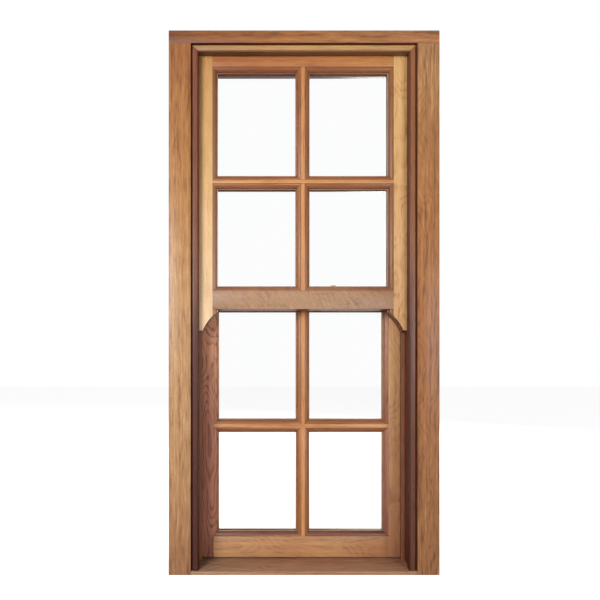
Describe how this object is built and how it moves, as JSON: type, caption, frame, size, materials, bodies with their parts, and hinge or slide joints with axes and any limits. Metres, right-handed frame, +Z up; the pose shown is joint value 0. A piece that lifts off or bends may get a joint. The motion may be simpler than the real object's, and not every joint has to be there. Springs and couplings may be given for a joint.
{
  "type": "sash window",
  "caption": "Timber double-hung window in a cased frame, two sliding sashes with glazing bars, horns on the upper sash, a swinging fastener and hook lifts.",
  "frame": {"origin": "middle of the underside of the frame, halfway through its depth", "axes": "+Z up, +Y from outside towards the room, +X to the right as seen from outside"},
  "size_m": [0.895, 0.14, 1.8],
  "materials": {
    "frame_timber": "reddish-brown hardwood, clear satin varnish",
    "sash_timber": "lighter reddish-brown hardwood, clear satin varnish",
    "clear_glass": "clear float glass",
    "brass": "lacquered brass",
    "zinc_steel": "zinc-plated steel",
    "balance_tube": "drawn tube, dull",
    "nylon": "moulded brown nylon"
  },
  "bodies": {
    "frame": {"sill": "frame_timber", "head_liner": "frame_timber", "outer_lining_left": "frame_timber", "outer_lining_right": "frame_timber", "outer_lining_head": "frame_timber", "inner_lining_left": "frame_timber", "inner_lining_right": "frame_timber", "inner_lining_head": "frame_timber", "jamb_liner_left": "frame_timber", "jamb_liner_right": "frame_timber", "back_lining_left": "frame_timber", "back_lining_right": "frame_timber", "outer_bead_left": "frame_timber", "outer_bead_right": "frame_timber", "outer_bead_head": "frame_timber", "parting_bead_left": "frame_timber", "parting_bead_right": "frame_timber", "parting_bead_head": "frame_timber", "staff_bead_left": "frame_timber", "staff_bead_right": "frame_timber", "staff_bead_head": "frame_timber", "staff_bead_sill": "frame_timber", "upper_balance_tube_left": "balance_tube", "upper_balance_tube_right": "balance_tube", "lower_balance_tube_left": "balance_tube", "lower_balance_tube_right": "balance_tube", "tube_bushes": "nylon", "tube_screws": "zinc_steel"},
    "upper_sash": {"upper_stile_left": "sash_timber", "upper_stile_right": "sash_timber", "upper_top_rail": "sash_timber", "upper_meeting_rail": "sash_timber", "upper_bar_level": "sash_timber", "upper_bar_upright": "sash_timber", "upper_glazing_beads": "sash_timber", "upper_panes": "clear_glass", "upper_balance_rod_left": "zinc_steel", "upper_balance_rod_right": "zinc_steel", "upper_balance_foot_left": "nylon", "upper_balance_foot_right": "nylon", "upper_screws": "brass", "fastener_keeper": "brass"},
    "lower_sash": {"lower_stile_left": "sash_timber", "lower_stile_right": "sash_timber", "lower_meeting_rail": "sash_timber", "lower_bottom_rail": "sash_timber", "lower_bar_level": "sash_timber", "lower_bar_upright": "sash_timber", "lower_glazing_beads": "sash_timber", "lower_panes": "clear_glass", "lower_balance_rod_left": "zinc_steel", "lower_balance_rod_right": "zinc_steel", "lower_balance_foot_left": "nylon", "lower_balance_foot_right": "nylon", "lower_screws": "brass", "fastener_base": "brass", "lift_left": "brass", "lift_right": "brass"},
    "lever": {"fastener_lever": "brass"}
  },
  "joints": [
    {"name": "upper_sash_slide", "type": "slide", "parent": "frame", "child": "upper_sash", "axis": [0, 0, -1], "range_m": [0, 0.74]},
    {"name": "lower_sash_slide", "type": "slide", "parent": "frame", "child": "lower_sash", "axis": [0, 0, 1], "range_m": [0, 0.74]},
    {"name": "fastener_turn", "type": "hinge", "parent": "lower_sash", "child": "lever", "pos_m": [0.11, 0.0305, 0.9644], "axis": [0, 0, 1], "range_deg": [-90, 0]}
  ]
}
